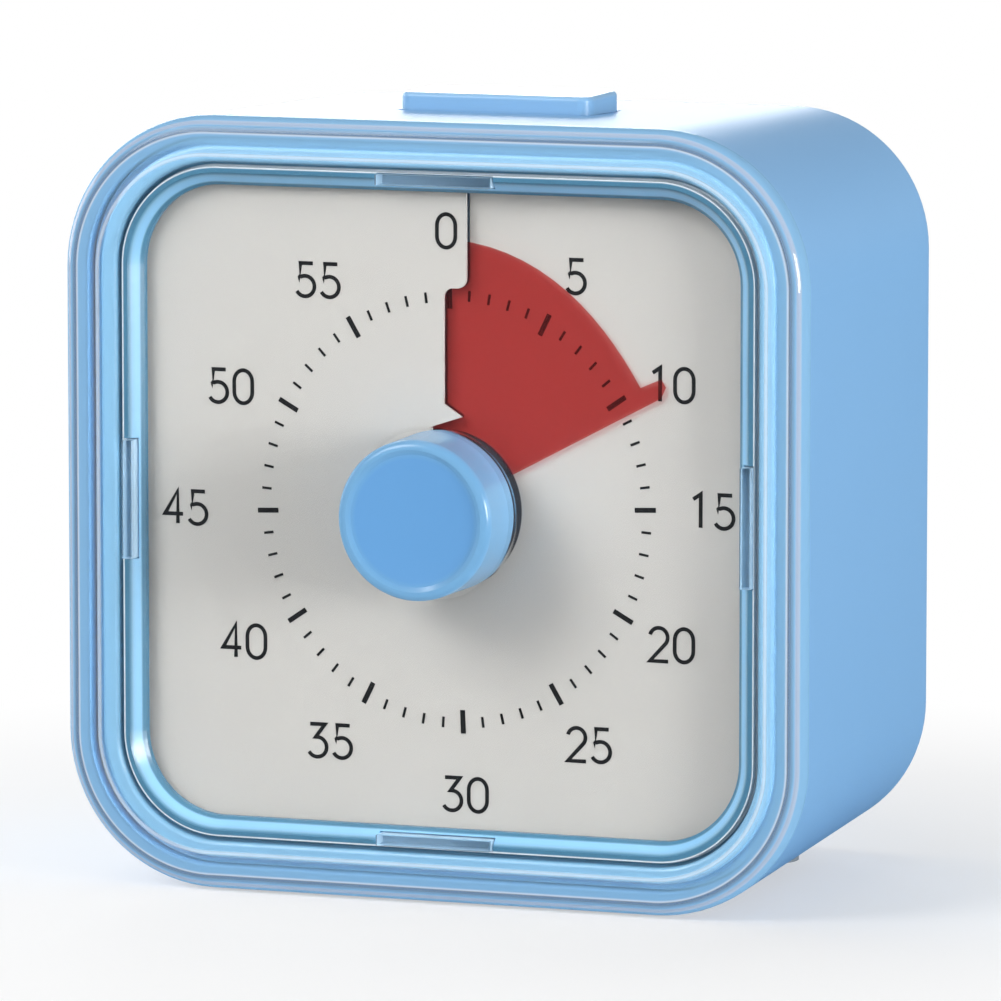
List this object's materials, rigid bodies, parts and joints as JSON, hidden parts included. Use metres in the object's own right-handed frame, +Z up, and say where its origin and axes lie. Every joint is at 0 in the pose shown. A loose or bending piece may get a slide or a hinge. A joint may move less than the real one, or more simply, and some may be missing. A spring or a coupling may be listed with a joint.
{
  "type": "visual countdown timer",
  "caption": "Rounded square visual countdown timer: clear front, grey minute dial with a slit, red time disc, centre knob, stop button and cell door.",
  "frame": {"origin": "middle of the footprint, on the surface that the feet stand on", "axes": "+Z up, the dial faces -Y, +X to the right seen from the front"},
  "size_m": [0.082, 0.0544, 0.0838],
  "materials": {
    "matte_case": "fine matt spark texture",
    "gloss_case": "polished moulding",
    "clear_pane": "clear, polished",
    "dial_grey": "printed sheet, matt",
    "white_moulding": "as moulded",
    "steel": "plated",
    "iron": "stamped",
    "copper_winding": "enamelled wire",
    "board_green": "solder resist",
    "black_moulding": "as moulded",
    "cell_wrap": "sleeve",
    "nickel": "nickel plated",
    "rubber_grey": "matt",
    "red_film": "tinted film",
    "magnet": "sintered"
  },
  "bodies": {
    "case": {"housing": "matte_case", "front_cover": "clear_pane", "front_frame": "gloss_case", "dial_plate": "dial_grey", "inner_tray": "white_moulding", "case_screws": "steel", "movement_front": "black_moulding", "movement_back": "black_moulding", "movement_screws": "steel", "motor_iron": "iron", "motor_coil": "copper_winding", "circuit_board": "board_green", "board_screws": "steel", "switch_body": "black_moulding", "timing_chip": "black_moulding", "quartz_crystal": "steel", "beeper": "black_moulding", "cell": "cell_wrap", "contact_plus": "nickel", "contact_minus_plate": "nickel", "contact_minus_spring": "nickel", "rubber_feet": "rubber_grey"},
    "spindle": {"knob": "gloss_case", "spindle": "steel", "clutch_washer": "steel"},
    "disc": {"time_disc": "red_film", "disc_hub": "white_moulding"},
    "button": {"stop_button": "gloss_case", "switch_plunger": "black_moulding"},
    "door": {"battery_door": "matte_case"},
    "drive": {"drive_wheel": "white_moulding"},
    "third": {"third_wheel": "white_moulding"},
    "second": {"second_wheel": "white_moulding"},
    "fourth": {"fourth_wheel": "white_moulding"},
    "rotor": {"rotor_pinion": "steel", "rotor_magnet": "magnet"}
  },
  "joints": [
    {"name": "knob_turn", "type": "hinge", "parent": "case", "child": "spindle", "pos_m": [0, -0.02, 0.0415], "axis": [0, 1, 0], "range_deg": [-62, 298]},
    {"name": "disc_wind", "type": "slide", "parent": "spindle", "child": "disc", "axis": [0, 1, 0], "range_m": [-0.001, 0.00021]},
    {"name": "button_press", "type": "slide", "parent": "case", "child": "button", "axis": [0, 0, -1], "range_m": [0, 0.0008], "stiffness_N_per_m": 1500, "springref_m": -0.0003},
    {"name": "door_tilt", "type": "hinge", "parent": "case", "child": "door", "pos_m": [0, 0.02725, 0.0197], "axis": [-1, 0, 0], "range_deg": [0, 75]},
    {"name": "rotor_turn", "type": "hinge", "parent": "case", "child": "rotor", "pos_m": [0.0031, -0.006, 0.05359], "axis": [0, 1, 0], "continuous": true},
    {"name": "fourth_turn", "type": "hinge", "parent": "case", "child": "fourth", "pos_m": [-0.0029, -0.006, 0.05359], "axis": [0, 1, 0], "continuous": true},
    {"name": "second_turn", "type": "hinge", "parent": "case", "child": "second", "pos_m": [-0.01071, -0.006, 0.04704], "axis": [0, 1, 0], "continuous": true},
    {"name": "third_turn", "type": "hinge", "parent": "case", "child": "third", "pos_m": [-0.00883, -0.006, 0.0364], "axis": [0, 1, 0], "continuous": true},
    {"name": "drive_turn", "type": "hinge", "parent": "case", "child": "drive", "pos_m": [0, -0.006, 0.0415], "axis": [0, 1, 0], "continuous": true}
  ],
  "couplings": [
    {"joint": "disc_wind", "follows": "knob_turn", "m_per_rad": -0.00019099},
    {"joint": "fourth_turn", "follows": "rotor_turn", "ratio": -0.25},
    {"joint": "second_turn", "follows": "rotor_turn", "ratio": 0.033333},
    {"joint": "third_turn", "follows": "rotor_turn", "ratio": -0.0041667},
    {"joint": "drive_turn", "follows": "rotor_turn", "ratio": 0.00055556}
  ]
}
